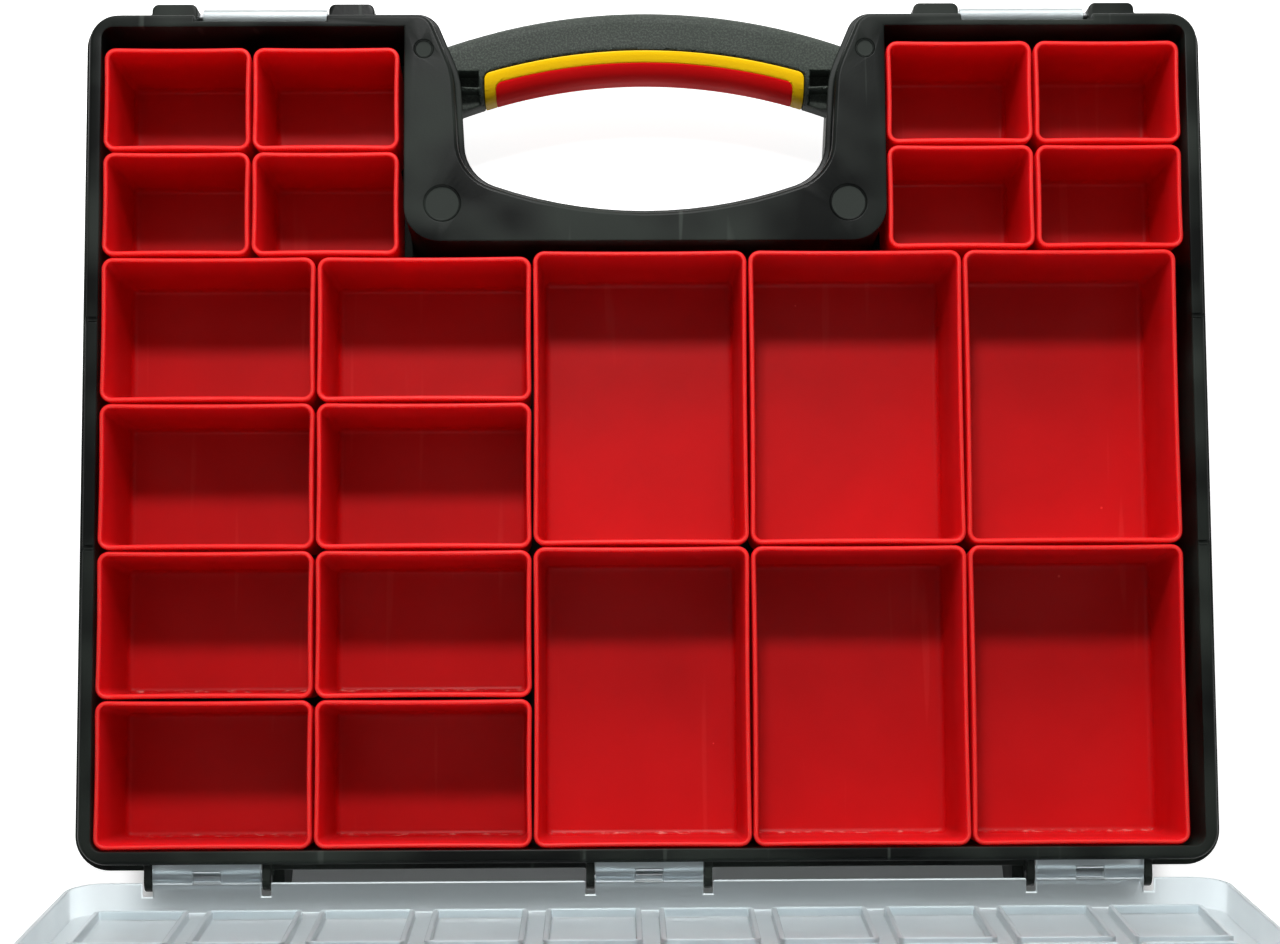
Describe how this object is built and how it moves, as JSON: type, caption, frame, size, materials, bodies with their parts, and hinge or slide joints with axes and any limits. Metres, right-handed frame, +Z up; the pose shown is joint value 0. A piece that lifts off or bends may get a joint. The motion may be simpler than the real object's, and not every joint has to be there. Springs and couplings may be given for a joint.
{
  "type": "small parts organizer",
  "caption": "Flat portable organizer for small parts: loose lift-out bins in a shallow moulded case, a hinged see-through lid with snap latches, and a carrying handle.",
  "frame": {"origin": "centre of the case's flat underside", "axes": "+X along the long side, +Y towards the handle and the latches, +Z up out of the bins; the lid is hinged along the -Y side and drawn open, as pictured"},
  "size_m": [0.4166, 0.3934, 0.3596],
  "materials": {
    "case_black": "fine moulded texture",
    "lid_frosted": "frosted translucent, satin",
    "latch_frosted": "frosted translucent, satin",
    "handle_grained": "grained",
    "grip_yellow": "satin",
    "grip_red": "soft satin",
    "bin_red": "satin moulded",
    "pin_steel": "drawn wire"
  },
  "bodies": {
    "base": {"case_base": "case_black", "handle_body": "handle_grained", "grip_frame": "grip_yellow", "grip_insert": "grip_red", "hinge_pin_left": "pin_steel", "hinge_pin_centre": "pin_steel", "hinge_pin_right": "pin_steel", "latch_pin_left": "pin_steel", "latch_pin_right": "pin_steel"},
    "lid": {"lid": "lid_frosted"},
    "latch_left": {"latch_left": "latch_frosted"},
    "latch_right": {"latch_right": "latch_frosted"},
    "bin_small_1": {"bin_small_1": "bin_red"},
    "bin_small_2": {"bin_small_2": "bin_red"},
    "bin_small_3": {"bin_small_3": "bin_red"},
    "bin_small_4": {"bin_small_4": "bin_red"},
    "bin_small_5": {"bin_small_5": "bin_red"},
    "bin_small_6": {"bin_small_6": "bin_red"},
    "bin_small_7": {"bin_small_7": "bin_red"},
    "bin_small_8": {"bin_small_8": "bin_red"},
    "bin_medium_1": {"bin_medium_1": "bin_red"},
    "bin_medium_2": {"bin_medium_2": "bin_red"},
    "bin_medium_3": {"bin_medium_3": "bin_red"},
    "bin_medium_4": {"bin_medium_4": "bin_red"},
    "bin_medium_5": {"bin_medium_5": "bin_red"},
    "bin_medium_6": {"bin_medium_6": "bin_red"},
    "bin_medium_7": {"bin_medium_7": "bin_red"},
    "bin_medium_8": {"bin_medium_8": "bin_red"},
    "bin_large_1": {"bin_large_1": "bin_red"},
    "bin_large_2": {"bin_large_2": "bin_red"},
    "bin_large_3": {"bin_large_3": "bin_red"},
    "bin_large_4": {"bin_large_4": "bin_red"},
    "bin_large_5": {"bin_large_5": "bin_red"},
    "bin_large_6": {"bin_large_6": "bin_red"}
  },
  "joints": [
    {"name": "lid_hinge", "type": "hinge", "parent": "base", "child": "lid", "pos_m": [0, -0.16205, 0.0434], "axis": [1, 0, 0], "range_deg": [-100, 0]},
    {"name": "latch_left_hinge", "type": "hinge", "parent": "base", "child": "latch_left", "pos_m": [-0.1425, 0.1597, 0.036], "axis": [-1, 0, 0], "range_deg": [-170, 0]},
    {"name": "latch_right_hinge", "type": "hinge", "parent": "base", "child": "latch_right", "pos_m": [0.1425, 0.1597, 0.036], "axis": [-1, 0, 0], "range_deg": [-170, 0]},
    {"name": "bin_small_1_lift", "type": "slide", "parent": "base", "child": "bin_small_1", "axis": [0, 0, 1], "range_m": [0, 0.07]},
    {"name": "bin_small_2_lift", "type": "slide", "parent": "base", "child": "bin_small_2", "axis": [0, 0, 1], "range_m": [0, 0.07]},
    {"name": "bin_small_3_lift", "type": "slide", "parent": "base", "child": "bin_small_3", "axis": [0, 0, 1], "range_m": [0, 0.07]},
    {"name": "bin_small_4_lift", "type": "slide", "parent": "base", "child": "bin_small_4", "axis": [0, 0, 1], "range_m": [0, 0.07]},
    {"name": "bin_small_5_lift", "type": "slide", "parent": "base", "child": "bin_small_5", "axis": [0, 0, 1], "range_m": [0, 0.07]},
    {"name": "bin_small_6_lift", "type": "slide", "parent": "base", "child": "bin_small_6", "axis": [0, 0, 1], "range_m": [0, 0.07]},
    {"name": "bin_small_7_lift", "type": "slide", "parent": "base", "child": "bin_small_7", "axis": [0, 0, 1], "range_m": [0, 0.07]},
    {"name": "bin_small_8_lift", "type": "slide", "parent": "base", "child": "bin_small_8", "axis": [0, 0, 1], "range_m": [0, 0.07]},
    {"name": "bin_medium_1_lift", "type": "slide", "parent": "base", "child": "bin_medium_1", "axis": [0, 0, 1], "range_m": [0, 0.07]},
    {"name": "bin_medium_2_lift", "type": "slide", "parent": "base", "child": "bin_medium_2", "axis": [0, 0, 1], "range_m": [0, 0.07]},
    {"name": "bin_medium_3_lift", "type": "slide", "parent": "base", "child": "bin_medium_3", "axis": [0, 0, 1], "range_m": [0, 0.07]},
    {"name": "bin_medium_4_lift", "type": "slide", "parent": "base", "child": "bin_medium_4", "axis": [0, 0, 1], "range_m": [0, 0.07]},
    {"name": "bin_medium_5_lift", "type": "slide", "parent": "base", "child": "bin_medium_5", "axis": [0, 0, 1], "range_m": [0, 0.07]},
    {"name": "bin_medium_6_lift", "type": "slide", "parent": "base", "child": "bin_medium_6", "axis": [0, 0, 1], "range_m": [0, 0.07]},
    {"name": "bin_medium_7_lift", "type": "slide", "parent": "base", "child": "bin_medium_7", "axis": [0, 0, 1], "range_m": [0, 0.07]},
    {"name": "bin_medium_8_lift", "type": "slide", "parent": "base", "child": "bin_medium_8", "axis": [0, 0, 1], "range_m": [0, 0.07]},
    {"name": "bin_large_1_lift", "type": "slide", "parent": "base", "child": "bin_large_1", "axis": [0, 0, 1], "range_m": [0, 0.07]},
    {"name": "bin_large_2_lift", "type": "slide", "parent": "base", "child": "bin_large_2", "axis": [0, 0, 1], "range_m": [0, 0.07]},
    {"name": "bin_large_3_lift", "type": "slide", "parent": "base", "child": "bin_large_3", "axis": [0, 0, 1], "range_m": [0, 0.07]},
    {"name": "bin_large_4_lift", "type": "slide", "parent": "base", "child": "bin_large_4", "axis": [0, 0, 1], "range_m": [0, 0.07]},
    {"name": "bin_large_5_lift", "type": "slide", "parent": "base", "child": "bin_large_5", "axis": [0, 0, 1], "range_m": [0, 0.07]},
    {"name": "bin_large_6_lift", "type": "slide", "parent": "base", "child": "bin_large_6", "axis": [0, 0, 1], "range_m": [0, 0.07]}
  ]
}
